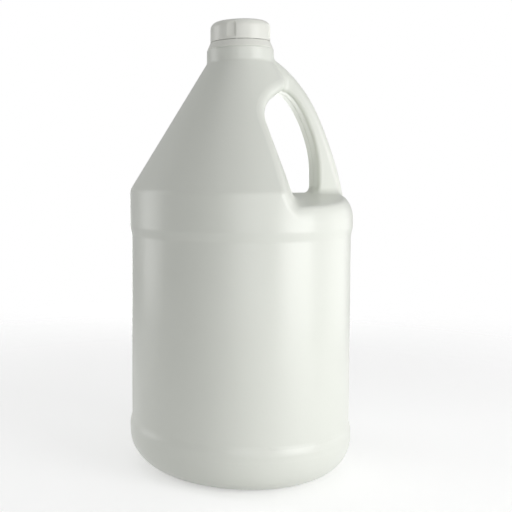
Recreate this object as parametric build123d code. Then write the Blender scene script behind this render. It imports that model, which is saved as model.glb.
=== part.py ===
from build123d import *
import os
from math import atan2, cos, hypot, radians, sin, tan

os.makedirs("parts", exist_ok=True)

# Lengths in millimetres, angles in degrees. The jug stands on z = 0 with its axis on +Z,
# and the handle points to +X. The mould parting plane is y = 0.

# Blown body, from the heel up to the cone
body_radius = 77.2
panel_recess = 1.3
heel_radius = 23.5
lower_band_height = 5.5
lower_ramp = 4.0
shoulder_height = 192.8
upper_band_height = 24.8
upper_ramp = 6.0
band_blend = 8.0
shoulder_blend = 6.0
cone_height = 88.2
blown_wall = 1.1

# Pushed-up base
standing_ring = 5.2
push_up_ramp = 14.0
push_up_height = 7.0
base_blend = 3.0

# Neck, with the collar under the closure and the finish that the cap screws on
finish_radius = 17.5
finish_wall = 2.5
finish_height = 15.8
finish_root = 6.0
lip_edge = 0.5
bead_rise = 2.5
bead_depth = 1.4
bead_land = 0.5
bead_ramp = 1.4
collar_step = 5.55
collar_height = 9.5
collar_blend = 4.0
collar_edge = 0.6
throat_depth = 12.0

# Hand pocket beside the handle. Its wall leans from a foot set back from the body's side
# to a head inside the collar's side, and its roof rises outwards past the collar.
shelf_drop = 1.8
shelf_draft = 5.7
shelf_ridge_blend = 60.0
shelf_edge = 4.0
shelf_round = 22.0
shelf_round_rise = 4.5
shelf_overhang = 0.05
pocket_wall_radius = 160.0
pocket_wall_setback = 48.8
pocket_wall_foot = 5.0
pocket_head_inset = 20.45
pocket_roof_drop = 19.5
pocket_roof_reach = 2.95
pocket_roof_rise = 30.0
pocket_roof_blend = 12.0
pocket_foot_blend = 8.0
pocket_rim_blend = 7.0
pocket_side_room = 11.0
rim_end_drop = 14.5

# Handle sections as outer and inner edge points. The first three are measured out from the collar's side
# and down from the cone's top, the last four in from the body's side and up from the shoulder.
handle_depth = 21.0
handle_corner = 5.0
handle_inner_corner = 2.5
handle_root_blend = 5.0
handle_neck_sections = (
    ((-11.05, -4.5), (-11.05, 19.8)),
    ((6.95, 3.4), (4.55, 19.8)),
    ((21.15, 18.8), (14.0, 26.4)),
)
handle_foot_sections = (
    ((22.0, 50.4), (30.6, 44.4)),
    ((13.0, 28.0), (24.6, 24.4)),
    ((6.7, 7.8), (23.4, 6.2)),
    ((2.0, -12.8), (23.0, -12.8)),
)

# Closure
thread_room = 1.5
cap_skirt_wall = 1.6
cap_plate = 2.2
cap_top_edge = 4.6
flute_count = 4
flute_turn = 228.5
flute_lead = 16.5
flute_step = 2.2
flute_depth = 0.9
flute_top_gap = 2.6
flute_foot_gap = 1.6
liner_thickness = 1.0
liner_play = 0.4
slit = 0.35
band_height = 4.9
band_flare = 2.2
band_bottom_edge = 0.4
band_bead_play = 0.4
band_hook_height = 1.3
band_hook_play = 0.7

# Levels and radii that follow from the sizes above
lower_band_top = heel_radius + lower_band_height
upper_band_bottom = shoulder_height - upper_band_height
shelf_height = shoulder_height - shelf_drop
shelf_round_bottom = shelf_height + shelf_round_rise - shelf_round
cone_top = shoulder_height + cone_height
collar_top = cone_top + collar_height
lip_height = collar_top + finish_height
band_top = collar_top + band_height
skirt_bottom = band_top + slit
cap_top = lip_height + liner_thickness + cap_plate
ring_inner_radius = body_radius - heel_radius - standing_ring
push_up_radius = ring_inner_radius - push_up_ramp
collar_radius = finish_radius + collar_step
bore_radius = finish_radius - finish_wall
bead_radius = finish_radius + bead_depth
cap_inner_radius = finish_radius + thread_room
cap_radius = cap_inner_radius + cap_skirt_wall
cone_angle = atan2(body_radius - collar_radius, cone_height)

# Overlap that lets one solid cut cleanly through another, and the play within which an edge lies on a face,
# tested at these shares of the edge's length
cut_past = 1.0
touching = 0.01
probe_shares = (0.25, 0.5, 0.75)


def corners(face, points):
    return [face.vertices().sort_by_distance((x, y, 0))[0] for x, y in points]


def polar(radius, angle):
    return radius * cos(radians(angle)), radius * sin(radians(angle))


def turned(face):
    half_plane = Pos(body_radius, cap_top / 2) * Rectangle(2 * body_radius, 2 * cap_top)
    return revolve(Plane.XZ * (face & half_plane), Axis.Z)


def inset_turned(face, inset):
    whole = face + mirror(face, Plane.YZ)
    return turned(offset(whole, -inset, kind=Kind.INTERSECTION) if inset else whole)


def body_section(inset):
    panel_radius = body_radius - panel_recess
    steps = (
        (body_radius, lower_band_top),
        (panel_radius, lower_band_top + lower_ramp),
        (panel_radius, upper_band_bottom - upper_ramp),
        (body_radius, upper_band_bottom),
    )
    outline = Polyline(
        (0, push_up_height),
        (push_up_radius, push_up_height),
        (ring_inner_radius, 0),
        (body_radius, 0),
        *steps,
        (body_radius, shoulder_height),
        (collar_radius, cone_top),
        (collar_radius, collar_top),
        (0, collar_top),
        close=True,
    )
    face = make_face(outline)
    face = fillet(corners(face, ((body_radius, 0),)), heel_radius)
    face = fillet(corners(face, ((body_radius, shoulder_height),)), shoulder_blend)
    face = fillet(corners(face, ((collar_radius, cone_top),)), collar_blend)
    if inset:
        return face
    # The softest changes of direction show on the skin only; inside they stay plain.
    face = fillet(corners(face, steps), band_blend)
    face = chamfer(corners(face, ((collar_radius, collar_top),)), collar_edge)
    return fillet(corners(face, ((push_up_radius, push_up_height), (ring_inner_radius, 0))), base_blend)


def shelf_form(inset):
    # Rounded shoulder under the pocket, topped by a floor that falls from the parting plane to both sides.
    # It runs a hair past the body, so its rounding crosses the band instead of grazing it.
    reach = body_radius + shelf_overhang
    top = shelf_height + shelf_round_rise
    bottom = shelf_round_bottom - shelf_round
    face = make_face(Polyline((0, bottom), (reach, bottom), (reach, top), (0, top), close=True))
    shoulder = inset_turned(fillet(corners(face, ((reach, top),)), shelf_round), inset)
    side = body_radius + pocket_side_room
    ridge = shelf_height - inset / cos(radians(shelf_draft))
    eave = ridge - side * tan(radians(shelf_draft))
    face = make_face(
        Polyline((-side, bottom), (side, bottom), (side, eave), (0, ridge), (-side, eave), close=True)
    )
    face = fillet(corners(face, ((0, ridge),)), shelf_ridge_blend - inset)
    shelf = shoulder & extrude(Plane.YZ * face, amount=side, both=True)
    plain = (GeomType.LINE, GeomType.CIRCLE)
    return fillet([e for e in shelf.edges() if e.geom_type not in plain], shelf_edge - inset)


def pocket_cutter(inset):
    # Space beside the handle: right of a slightly curved leaning wall, over the shelf, under a rising roof.
    foot = Vector(body_radius - pocket_wall_setback, 0, shelf_height + pocket_wall_foot)
    head = Vector(collar_radius - pocket_head_inset, 0, cone_top - pocket_roof_drop)
    along = (head - foot).normalized()
    outward = Vector(along.Z, 0, -along.X)
    start = foot - along * shoulder_height - outward * pocket_wall_radius
    wall_plane = Plane(origin=start, x_dir=-outward, z_dir=along)
    wall_length = shoulder_height + 2 * (head - foot).length
    wall = Cylinder(pocket_wall_radius - inset, wall_length, align=(Align.CENTER, Align.CENTER, Align.MIN))
    rise = tan(radians(pocket_roof_rise))
    floor_z = shelf_round_bottom - shelf_round / 2
    left = -body_radius
    right = body_radius + collar_radius
    roof_x = collar_radius + pocket_roof_reach
    roof_z = cone_top - pocket_roof_drop + inset / cos(radians(pocket_roof_rise))
    outline = Polyline(
        (left, floor_z),
        (right, floor_z),
        (right, roof_z + (right - roof_x) * rise),
        (left, roof_z + (left - roof_x) * rise),
        close=True,
    )
    block = extrude(Plane.XZ * make_face(outline), amount=body_radius + pocket_side_room, both=True)
    space = (block - wall_plane * wall).solids().sort_by(Axis.X)[-1]
    ellipses = space.edges().filter_by(GeomType.ELLIPSE)
    roof_edges = [e for e in ellipses if e.center().Z > shelf_height]
    space = fillet(roof_edges, pocket_roof_blend + inset)
    space = (space - shelf_form(inset)).solids().sort_by(SortBy.VOLUME)[-1]
    foot_edges = []
    for e in space.edges():
        along_wall = [(e @ share - start).cross(along).length for share in probe_shares]
        on_wall = max(abs(r - pocket_wall_radius + inset) for r in along_wall) < touching
        level = floor_z + cut_past / 2 < e.center().Z < shelf_height + cut_past / 2
        if on_wall and level and e.geom_type != GeomType.LINE:
            foot_edges.append(e)
    return fillet(foot_edges, pocket_foot_blend + inset)


def rim_edges(part, inset, lowest):
    # Edges of the pocket that lie on the cone, the shoulder or the upper band.
    near = 0.7
    found = []
    for e in part.edges():
        c = e.center()
        seam = e.geom_type == GeomType.LINE or (e.geom_type == GeomType.CIRCLE and c.X < 3 * near)
        if seam or c.X < 2 * near or c.Z < lowest or c.Z > cone_top - collar_blend:
            continue
        gaps = []
        for share in probe_shares:
            p = e @ share
            cone = body_radius - inset / cos(cone_angle) - (p.Z - shoulder_height) * tan(cone_angle)
            gaps.append(min(body_radius - inset, cone) - hypot(p.X, p.Y))
        if max(gaps) < near:
            found.append(e)
    return found


def handle_bar(inset):
    ends = []
    for outer, inner in handle_neck_sections:
        ends.append([Vector(collar_radius + x, 0, cone_top - z) for x, z in (outer, inner)])
    for outer, inner in handle_foot_sections:
        ends.append([Vector(body_radius - x, 0, shoulder_height + z) for x, z in (outer, inner)])
    slices = []
    for a, b in ends:
        across = (a - b).normalized()
        plane = Plane(origin=(a + b) * 0.5, x_dir=across, z_dir=across.cross(Vector(0, 1, 0)))
        half_wide = (a - b).length / 2 - inset
        half_deep = handle_depth / 2 - inset
        face = Rectangle(2 * half_wide, 2 * half_deep)
        # The tight corners on the fingers' side keep their radius inside the wall.
        for side, blend in ((half_wide, handle_corner - inset), (-half_wide, handle_inner_corner)):
            face = fillet(corners(face, ((side, half_deep), (side, -half_deep))), blend)
        slices.append(plane * face)
    return loft(slices)


def blown_form(inset):
    # Solid bounded by the jug's skin (inset 0) or by the inside of its wall (inset = wall).
    body = inset_turned(body_section(inset), inset) - pocket_cutter(inset)
    level = shelf_height - rim_end_drop
    upper = split(body, Plane.XY.offset(level), keep=Keep.TOP)
    lower = split(body, Plane.XY.offset(level), keep=Keep.BOTTOM)
    upper = fillet(rim_edges(upper, inset, level + cut_past / 2), pocket_rim_blend - inset)
    body = Part() + upper + lower
    bar = handle_bar(inset)
    joined = body + bar
    return fillet(new_edges(body, bar, combined=joined), handle_root_blend + inset)


def neck_finish():
    bead_bottom = collar_top + bead_rise
    face = make_face(
        Polyline(
            (0, collar_top - finish_root),
            (finish_radius, collar_top - finish_root),
            (finish_radius, bead_bottom),
            (bead_radius, bead_bottom),
            (bead_radius, bead_bottom + bead_land),
            (finish_radius, bead_bottom + bead_land + bead_ramp),
            (finish_radius, lip_height),
            (0, lip_height),
            close=True,
        )
    )
    return turned(chamfer(corners(face, ((finish_radius, lip_height),)), lip_edge))


def jug_body():
    bore_bottom = cone_top - throat_depth
    bore = Pos(0, 0, bore_bottom) * Cylinder(
        bore_radius, lip_height - bore_bottom + cut_past, align=(Align.CENTER, Align.CENTER, Align.MIN)
    )
    return blown_form(0) + neck_finish() - blown_form(blown_wall) - bore


def screw_cap():
    face = make_face(
        Polyline(
            (0, cap_top - cap_plate),
            (cap_inner_radius, cap_top - cap_plate),
            (cap_inner_radius, skirt_bottom),
            (cap_radius, skirt_bottom),
            (cap_radius, cap_top),
            (0, cap_top),
            close=True,
        )
    )
    cap = turned(fillet(corners(face, ((cap_radius, cap_top),)), cap_top_edge))
    # Each flute is a long shallow side and a short steep one.
    flute = make_face(
        Polyline(
            polar(cap_radius, 0),
            polar(cap_radius - flute_depth, flute_lead),
            polar(cap_radius, flute_lead + flute_step),
            polar(cap_radius + cut_past, flute_lead + flute_step),
            polar(cap_radius + cut_past, 0),
            close=True,
        )
    )
    flute_foot = skirt_bottom + flute_foot_gap
    tool = Pos(0, 0, flute_foot) * extrude(flute, amount=cap_top - flute_top_gap - flute_foot)
    for n in range(flute_count):
        cap = cap - Rot(0, 0, flute_turn + n * 360 / flute_count) * tool
    return cap


def tamper_band():
    inside = bead_radius + band_bead_play
    hook = finish_radius + band_hook_play
    bottom_radius = cap_radius + band_flare
    face = make_face(
        Polyline(
            (hook, collar_top),
            (bottom_radius, collar_top),
            (cap_radius, band_top),
            (inside, band_top),
            (inside, collar_top + band_hook_height),
            (hook, collar_top + band_hook_height),
            close=True,
        )
    )
    return turned(chamfer(corners(face, ((bottom_radius, collar_top),)), band_bottom_edge))


def cap_liner():
    return Pos(0, 0, lip_height) * Cylinder(
        cap_inner_radius - liner_play, liner_thickness, align=(Align.CENTER, Align.CENTER, Align.MIN)
    )


pieces = {
    "jug_body": jug_body(),
    "tamper_band": tamper_band(),
    "cap_liner": cap_liner(),
    "screw_cap": screw_cap(),
}
for name, solid in pieces.items():
    export_step(solid, f"parts/{name}.step")
    box = solid.bounding_box()
    print(name, len(solid.solids()), round(solid.volume), solid.is_valid, box.min, box.max)
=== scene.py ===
import math

import bmesh
import bpy
from mathutils import Matrix, Vector
from mathutils.bvhtree import BVHTree


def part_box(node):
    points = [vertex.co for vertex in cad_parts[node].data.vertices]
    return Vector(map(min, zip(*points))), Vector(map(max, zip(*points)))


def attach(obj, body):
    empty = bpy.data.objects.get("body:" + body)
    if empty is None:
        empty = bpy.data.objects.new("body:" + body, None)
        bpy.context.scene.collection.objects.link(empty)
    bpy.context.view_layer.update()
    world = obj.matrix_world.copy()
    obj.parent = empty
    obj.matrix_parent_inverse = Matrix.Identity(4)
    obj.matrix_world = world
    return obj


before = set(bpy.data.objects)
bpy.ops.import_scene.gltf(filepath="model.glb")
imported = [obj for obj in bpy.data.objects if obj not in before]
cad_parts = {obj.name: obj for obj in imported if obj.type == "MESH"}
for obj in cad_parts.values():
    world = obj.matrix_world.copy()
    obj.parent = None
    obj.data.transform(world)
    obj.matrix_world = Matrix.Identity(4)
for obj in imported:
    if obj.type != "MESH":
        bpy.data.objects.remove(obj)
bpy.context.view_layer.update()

# Jug body: one blow-moulded shell of white HDPE, with its cone, hollow handle, bumper bands and neck.
# The skin is satin, with the faint pebbling and the slow mottling that the blown parison leaves.
# It stands on its own ring and carries everything else.
MM = 0.001
mottle_detail, pebble_detail = 3.0, 2.0
mottle_least, mottle_most = 0.2, 0.8


def moulded_skin_group():
    group = bpy.data.node_groups.new("moulded_skin", "ShaderNodeTree")
    for way, kind, names in (
        ("INPUT", "NodeSocketColor", ("Light Tint", "Deep Tint")),
        ("INPUT", "NodeSocketFloat", ("Mottle Scale", "Pebble Scale", "Rough Low", "Rough High")),
        ("OUTPUT", "NodeSocketColor", ("Color",)),
        ("OUTPUT", "NodeSocketFloat", ("Roughness", "Height")),
    ):
        for name in names:
            group.interface.new_socket(name=name, in_out=way, socket_type=kind)
    add, link = group.nodes.new, group.links.new
    given, made = add("NodeGroupInput"), add("NodeGroupOutput")
    place = add("ShaderNodeTexCoord").outputs["Object"]

    mottle = add("ShaderNodeTexNoise")
    mottle.inputs["Detail"].default_value = mottle_detail
    link(place, mottle.inputs["Vector"])
    link(given.outputs["Mottle Scale"], mottle.inputs["Scale"])
    tint = add("ShaderNodeMix")
    tint.data_type = "RGBA"
    link(mottle.outputs["Fac"], tint.inputs["Factor"])
    link(given.outputs["Deep Tint"], tint.inputs["A"])
    link(given.outputs["Light Tint"], tint.inputs["B"])
    link(tint.outputs["Result"], made.inputs["Color"])

    rough = add("ShaderNodeMapRange")
    rough.interpolation_type = "SMOOTHSTEP"
    rough.inputs["From Min"].default_value = mottle_least
    rough.inputs["From Max"].default_value = mottle_most
    link(mottle.outputs["Fac"], rough.inputs["Value"])
    link(given.outputs["Rough Low"], rough.inputs["To Min"])
    link(given.outputs["Rough High"], rough.inputs["To Max"])
    link(rough.outputs["Result"], made.inputs["Roughness"])

    pebble = add("ShaderNodeTexNoise")
    pebble.inputs["Detail"].default_value = pebble_detail
    link(place, pebble.inputs["Vector"])
    link(given.outputs["Pebble Scale"], pebble.inputs["Scale"])
    link(pebble.outputs["Fac"], made.inputs["Height"])
    return group


moulded_skin = moulded_skin_group()


def moulded_plastic(name, values, pebble_depth, ior):
    made = bpy.data.materials.new(name)
    made.use_nodes = True
    nodes, link = made.node_tree.nodes, made.node_tree.links.new
    shader = nodes["Principled BSDF"]
    shader.inputs["IOR"].default_value = ior
    skin = nodes.new("ShaderNodeGroup")
    skin.node_tree = moulded_skin
    for socket, value in values.items():
        skin.inputs[socket].default_value = value
    bump = nodes.new("ShaderNodeBump")
    bump.inputs["Strength"].default_value = 1.0
    bump.inputs["Distance"].default_value = pebble_depth
    link(skin.outputs["Color"], shader.inputs["Base Color"])
    link(skin.outputs["Roughness"], shader.inputs["Roughness"])
    link(skin.outputs["Height"], bump.inputs["Height"])
    link(bump.outputs["Normal"], shader.inputs["Normal"])
    return made


def finish_node(node, finish):
    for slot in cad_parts[node].material_slots:
        slot.material = finish


blown_hdpe = moulded_plastic(
    "blown_hdpe",
    {
        "Light Tint": (0.825, 0.845, 0.785, 1),
        "Deep Tint": (0.79, 0.812, 0.75, 1),
        "Mottle Scale": 16.0,
        "Pebble Scale": 520.0,
        "Rough Low": 0.28,
        "Rough High": 0.34,
    },
    pebble_depth=0.03 * MM,
    ior=1.5,
)
finish_node("jug_body", blown_hdpe)

# Mould flash: the thin raised line where the two mould halves met, round the jug in the plane y = 0.
# It is the jug's own HDPE, trimmed low, and wider where the parison was pinched off under the base.
# It ends on the collar, a little below the tamper band.
scene = bpy.context.scene
jug_low, jug_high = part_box("jug_body")
flash_height, flash_half_width, flash_crest_share = 0.16 * MM, 0.45 * MM, 0.35
flash_sink, flash_below_lip = 0.06 * MM, 18 * MM
pinch_height, pinch_half_width, pinch_reach = 0.7 * MM, 1.0 * MM, 31 * MM
pinch_level, pinch_facing = 20 * MM, 0.9
weld_gap, probe_gap = 0.002 * MM, 0.4 * MM
key_digits, fewest_points = 6, 4
sharp_angle = math.radians(40)


def under_base(point, out):
    return point.z < pinch_level and abs(point.x) < pinch_reach and out.z < -pinch_facing


def flash_chains():
    mesh = bmesh.new()
    mesh.from_mesh(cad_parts["jug_body"].data)
    bmesh.ops.remove_doubles(mesh, verts=mesh.verts, dist=weld_gap)
    tree = BVHTree.FromBMesh(mesh)
    cut = bmesh.ops.bisect_plane(
        mesh,
        geom=mesh.verts[:] + mesh.edges[:] + mesh.faces[:],
        plane_co=(0, 0, 0),
        plane_no=(0, 1, 0),
    )["geom_cut"]

    # An edge of the cut is on the outer skin if a point just off it sees open air to the side,
    # or if it faces down in the recess of the base, which the standing ring hides from the side.
    links = {}
    for edge in (e for e in cut if isinstance(e, bmesh.types.BMEdge)):
        a, b = (v.co.copy() for v in edge.verts)
        out = sum((f.normal for f in edge.link_faces), Vector()).normalized()
        probe = (a + b) / 2 + out * probe_gap
        in_open_air = tree.ray_cast(probe, Vector((0, 1, 0)))[0] is None
        if (in_open_air or under_base(probe, out)) and probe.z < jug_high.z - flash_below_lip:
            key_a, key_b = (tuple(round(c, key_digits) for c in p) for p in (a, b))
            links.setdefault(key_a, {})[key_b] = out
            links.setdefault(key_b, {})[key_a] = out
    mesh.free()

    # Loose ends come first, so that each open line is walked from one end to the other.
    chains, seen = [], set()
    for start in sorted(links, key=lambda k: (len(links[k]) != 1, k)):
        if start in seen:
            continue
        chain, here = [], start
        while here is not None:
            seen.add(here)
            chain.append((Vector(here), sum(links[here].values(), Vector()).normalized()))
            here = next((k for k in links[here] if k not in seen), None)
        if len(chain) >= fewest_points:
            chains.append(chain)
    return chains


def flash_mesh(chains):
    mesh = bmesh.new()
    for chain in chains:
        rows = []
        for point, out in chain:
            pinched = under_base(point, out)
            height, half = (pinch_height, pinch_half_width) if pinched else (flash_height, flash_half_width)
            crest = point + out * height
            crest.x = max(min(crest.x, jug_high.x), jug_low.x)
            crest.z = max(crest.z, jug_low.z)
            foot = point - out * flash_sink
            side = Vector((0, half, 0))
            crest_side = side * flash_crest_share
            ring = (foot - side, crest - crest_side, crest + crest_side, foot + side)
            rows.append([mesh.verts.new(p) for p in ring])
        for low, high in zip(rows, rows[1:]):
            for i in range(len(low) - 1):
                mesh.faces.new((low[i], low[i + 1], high[i + 1], high[i]))
        for row in (rows[0], rows[-1]):
            mesh.faces.new(row)
    bmesh.ops.recalc_face_normals(mesh, faces=mesh.faces)
    return mesh


def piece_from(name, mesh, finish, body):
    data = bpy.data.meshes.new(name)
    mesh.to_mesh(data)
    mesh.free()
    data.materials.append(finish)
    for polygon in data.polygons:
        polygon.use_smooth = True
    data.set_sharp_from_angle(angle=sharp_angle)
    piece = bpy.data.objects.new(name, data)
    scene.collection.objects.link(piece)
    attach(piece, body)


piece_from("mould_flash", flash_mesh(flash_chains()), blown_hdpe, "jug")

# Neck thread: the single-start thread moulded on the jug's finish, which the cap turns on.
# It has the 4.233 mm pitch of a 38 mm closure, a rounded crest, and ends that fade into the wall.
pitch = 4.233 * MM
finish_radius = 17.5 * MM
thread_below_lip, thread_sink = 9.3 * MM, 0.15 * MM
thread_phase = math.radians(20)
steps_per_turn, fade_turns = 96, 0.12
shoulder_share, crest_flat_share = 0.75, 0.6


def thread_mesh(root, crest, start, turns, root_half, crest_half):
    mesh = bmesh.new()
    shoulder_half = (root_half + crest_half) / 2
    rows = []
    for n in range(1, round(turns * steps_per_turn)):
        turn = n / steps_per_turn
        faded = min(1.0, turn / fade_turns, (turns - turn) / fade_turns)
        grown = math.sin(faded * math.pi / 2)
        top = root + (crest - root) * grown
        shoulder = root + (crest - root) * grown * shoulder_share
        ring = (
            (root, -root_half * grown),
            (shoulder, -shoulder_half * grown),
            (top, -crest_half * crest_flat_share * grown),
            (top, crest_half * crest_flat_share * grown),
            (shoulder, shoulder_half * grown),
            (root, root_half * grown),
        )
        angle = thread_phase + turn * 2 * math.pi
        across, along, level = math.cos(angle), math.sin(angle), start + turn * pitch
        rows.append([mesh.verts.new((r * across, r * along, level + z)) for r, z in ring])
    for low, high in zip(rows, rows[1:]):
        for i in range(len(low) - 1):
            mesh.faces.new((low[i], high[i], high[i + 1], low[i + 1]))
    for row in (rows[0], rows[-1]):
        mesh.faces.new(row)
    bmesh.ops.recalc_face_normals(mesh, faces=mesh.faces)
    return mesh


neck_thread = thread_mesh(
    root=finish_radius - thread_sink,
    crest=18.65 * MM,
    start=jug_high.z - thread_below_lip,
    turns=1.75,
    root_half=0.95 * MM,
    crest_half=0.5 * MM,
)
piece_from("neck_thread", neck_thread, blown_hdpe, "jug")

# Tamper band: the flared ring that was moulded with the cap in white polypropylene.
# It snapped off its bridges at the first opening and hangs on the bead of the neck.
closure_pp = moulded_plastic(
    "closure_pp",
    {
        "Light Tint": (0.895, 0.903, 0.845, 1),
        "Deep Tint": (0.87, 0.88, 0.82, 1),
        "Mottle Scale": 45.0,
        "Pebble Scale": 1500.0,
        "Rough Low": 0.28,
        "Rough High": 0.34,
    },
    pebble_depth=0.012 * MM,
    ior=1.49,
)
finish_node("tamper_band", closure_pp)

# Bridge stubs: the torn ends of the thin bridges that joined the band to the cap's skirt.
# They are the band's own polypropylene and stand on its upper edge, in the slit.
band_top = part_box("tamper_band")[1].z
skirt_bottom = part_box("screw_cap")[0].z
bridge_count, bridge_first, bridge_half_angle = 12, math.radians(8), math.radians(1.6)
bridge_inner, bridge_outer = 19.6 * MM, 20.35 * MM
bridge_sink, bridge_tip_gap, bridge_tip_share = 0.1 * MM, 0.05 * MM, 0.6


def bridge_mesh():
    mesh = bmesh.new()
    plan = ((bridge_inner, -1), (bridge_outer, -1), (bridge_outer, 1), (bridge_inner, 1))
    ends = ((band_top - bridge_sink, 1.0), (skirt_bottom - bridge_tip_gap, bridge_tip_share))
    for n in range(bridge_count):
        middle = bridge_first + n * 2 * math.pi / bridge_count
        corners = []
        for level, share in ends:
            for radius, side in plan:
                angle = middle + side * bridge_half_angle * share
                corner = (radius * math.cos(angle), radius * math.sin(angle), level)
                corners.append(mesh.verts.new(corner))
        for i in range(4):
            j = (i + 1) % 4
            mesh.faces.new((corners[i], corners[j], corners[j + 4], corners[i + 4]))
        mesh.faces.new(corners[:4])
        mesh.faces.new(corners[4:])
    bmesh.ops.recalc_face_normals(mesh, faces=mesh.faces)
    return mesh


piece_from("bridge_stubs", bridge_mesh(), closure_pp, "jug")

# Cap liner: a disc of white closed-cell foam pressed up into the cap.
# It seals on the lip of the neck, and its cells show as a fine matt grain.
liner_foam = moulded_plastic(
    "liner_foam",
    {
        "Light Tint": (0.87, 0.87, 0.85, 1),
        "Deep Tint": (0.82, 0.82, 0.79, 1),
        "Mottle Scale": 700.0,
        "Pebble Scale": 2200.0,
        "Rough Low": 0.75,
        "Rough High": 0.9,
    },
    pebble_depth=0.06 * MM,
    ior=1.3,
)
finish_node("cap_liner", liner_foam)

# Screw cap: injection-moulded white polypropylene with broad grip flutes and a smooth domed edge.
# It turns on the neck thread by a thread of its own inside the skirt, half a pitch higher.
finish_node("screw_cap", closure_pp)
cap_thread = thread_mesh(
    root=19.1 * MM,
    crest=18.0 * MM,
    start=jug_high.z - thread_below_lip + pitch / 2,
    turns=1.25,
    root_half=0.9 * MM,
    crest_half=0.5 * MM,
)
piece_from("cap_thread", cap_thread, closure_pp, "cap")

# Floor: a plain pale sweep that fades into the white room, and keeps the jug's soft shadow.
# It lies just under the standing ring. A faint glow, seen but not cast on the jug, keeps it near white.
floor_radius, floor_sides, floor_drop = 1.6, 96, 0.4 * MM
floor_fade_start, floor_fade_end = 0.28, 0.75
floor_paint = (0.86, 0.86, 0.86, 1)
floor_lift = 0.42


def seen_straight(nodes, link, gloss_share=1.0):
    rays = nodes.new("ShaderNodeLightPath")
    through = nodes.new("ShaderNodeMath")
    through.operation = "ADD"
    link(rays.outputs["Is Camera Ray"], through.inputs[0])
    link(rays.outputs["Is Transmission Ray"], through.inputs[1])
    seen = nodes.new("ShaderNodeMath")
    seen.operation = "MULTIPLY_ADD"
    seen.use_clamp = True
    seen.inputs[1].default_value = gloss_share
    link(rays.outputs["Is Glossy Ray"], seen.inputs[0])
    link(through.outputs["Value"], seen.inputs[2])
    return seen.outputs["Value"]


def pale_floor():
    made = bpy.data.materials.new("pale_floor")
    made.use_nodes = True
    nodes, link = made.node_tree.nodes, made.node_tree.links.new
    nodes.clear()
    place = nodes.new("ShaderNodeNewGeometry").outputs["Position"]
    reach = nodes.new("ShaderNodeVectorMath")
    reach.operation = "LENGTH"
    link(place, reach.inputs[0])
    fade = nodes.new("ShaderNodeMapRange")
    fade.interpolation_type = "SMOOTHSTEP"
    fade.inputs["From Min"].default_value = floor_fade_start
    fade.inputs["From Max"].default_value = floor_fade_end
    link(reach.outputs["Value"], fade.inputs["Value"])
    paint = nodes.new("ShaderNodeBsdfDiffuse")
    paint.inputs["Color"].default_value = floor_paint
    weight = nodes.new("ShaderNodeMath")
    weight.operation = "MULTIPLY"
    weight.inputs[1].default_value = floor_lift
    link(seen_straight(nodes, link), weight.inputs[0])
    lift = nodes.new("ShaderNodeEmission")
    link(weight.outputs["Value"], lift.inputs["Strength"])
    lit = nodes.new("ShaderNodeAddShader")
    link(paint.outputs["BSDF"], lit.inputs[0])
    link(lift.outputs["Emission"], lit.inputs[1])
    clear = nodes.new("ShaderNodeBsdfTransparent")
    blend = nodes.new("ShaderNodeMixShader")
    link(fade.outputs["Result"], blend.inputs["Fac"])
    link(lit.outputs["Shader"], blend.inputs[1])
    link(clear.outputs["BSDF"], blend.inputs[2])
    out = nodes.new("ShaderNodeOutputMaterial")
    link(blend.outputs["Shader"], out.inputs["Surface"])
    return made


floor_mesh = bmesh.new()
bmesh.ops.create_circle(floor_mesh, cap_ends=True, segments=floor_sides, radius=floor_radius)
floor_data = bpy.data.meshes.new("floor")
floor_mesh.to_mesh(floor_data)
floor_mesh.free()
floor_data.materials.append(pale_floor())
floor = bpy.data.objects.new("floor", floor_data)
floor.location.z = -floor_drop
scene.collection.objects.link(floor)

# Room light: a soft grey room round the jug, white where the camera or glass looks at it.
# Gloss sees it part of the way to white, so that the satin edges keep their shade.
room_gloss_share, room_level = 0.35, 0.16
room_paint = (1, 1, 1, 1)
room = bpy.data.worlds.new("room")
scene.world = room
room.use_nodes = True
room_nodes, room_link = room.node_tree.nodes, room.node_tree.links.new
room_nodes.clear()
room_white = room_nodes.new("ShaderNodeBackground")
room_white.inputs["Color"].default_value = room_paint
room_grey = room_nodes.new("ShaderNodeBackground")
room_grey.inputs["Color"].default_value = room_paint
room_grey.inputs["Strength"].default_value = room_level
room_mix = room_nodes.new("ShaderNodeMixShader")
room_link(seen_straight(room_nodes, room_link, room_gloss_share), room_mix.inputs["Fac"])
room_link(room_grey.outputs["Background"], room_mix.inputs[1])
room_link(room_white.outputs["Background"], room_mix.inputs[2])
room_out = room_nodes.new("ShaderNodeOutputWorld")
room_link(room_mix.outputs["Shader"], room_out.inputs["Surface"])

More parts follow.
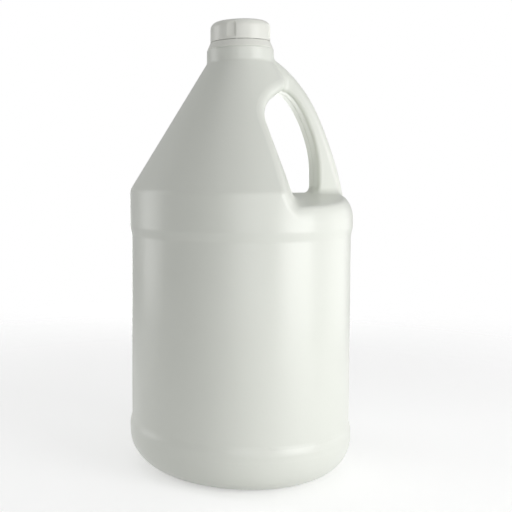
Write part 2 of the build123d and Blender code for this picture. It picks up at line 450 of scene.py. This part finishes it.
# Studio lamps: a key soft box to the right of the camera, four weaker ones round the jug, one overhead.
# They are hidden from the camera, so that no view shows a lamp.
jug_middle = Vector((0, 0, 0.14))


def soft_box(name, azimuth, height, distance, width, tall, watts):
    lamp = bpy.data.lights.new(name, "AREA")
    lamp.shape = "RECTANGLE"
    lamp.size, lamp.size_y, lamp.energy = width, tall, watts
    made = bpy.data.objects.new(name, lamp)
    turn = math.radians(azimuth)
    made.location = (distance * math.sin(turn), -distance * math.cos(turn), height)
    made.rotation_euler = (jug_middle - made.location).to_track_quat("-Z", "Y").to_euler()
    made.visible_camera = False
    scene.collection.objects.link(made)


soft_box("key_box", azimuth=42, height=0.2, distance=0.8, width=0.5, tall=0.5, watts=3.7)
soft_box("side_box", azimuth=98, height=0.16, distance=0.8, width=0.6, tall=0.45, watts=1.0)
soft_box("front_box", azimuth=-8, height=0.25, distance=0.8, width=0.4, tall=0.5, watts=1.0)
soft_box("left_box", azimuth=-114, height=0.28, distance=0.8, width=0.42, tall=0.6, watts=1.8)
soft_box("back_box", azimuth=170, height=0.06, distance=0.8, width=0.6, tall=0.32, watts=1.8)
soft_box("top_box", azimuth=0, height=1.4, distance=0.01, width=1.2, tall=1.2, watts=3.5)

# Camera at the photograph's viewing angle: a little left of the jug's front, at the height of the cone.
# Its focal length is in pixels of the square frame, and its shift puts the jug where the photograph has it.
camera_place = Vector((-0.1568, -0.5671, 0.2065))
camera_yaw, camera_pitch, camera_roll = math.radians(7.07), math.radians(-3.22), math.radians(-0.2)
focal_pixels, frame_pixels = 826.0, 512
camera_data = bpy.data.cameras.new("photo_camera")
camera_data.sensor_width = 36.0
camera_data.lens = camera_data.sensor_width * focal_pixels / frame_pixels
camera_data.shift_x, camera_data.shift_y = 0.27, -0.075
camera = bpy.data.objects.new("photo_camera", camera_data)
aim = Matrix.Rotation(-camera_yaw, 4, "Z") @ Matrix.Rotation(math.pi / 2 + camera_pitch, 4, "X")
camera.matrix_world = Matrix.Translation(camera_place) @ aim @ Matrix.Rotation(camera_roll, 4, "Z")
scene.collection.objects.link(camera)
scene.camera = camera
scene.view_settings.view_transform = "Standard"
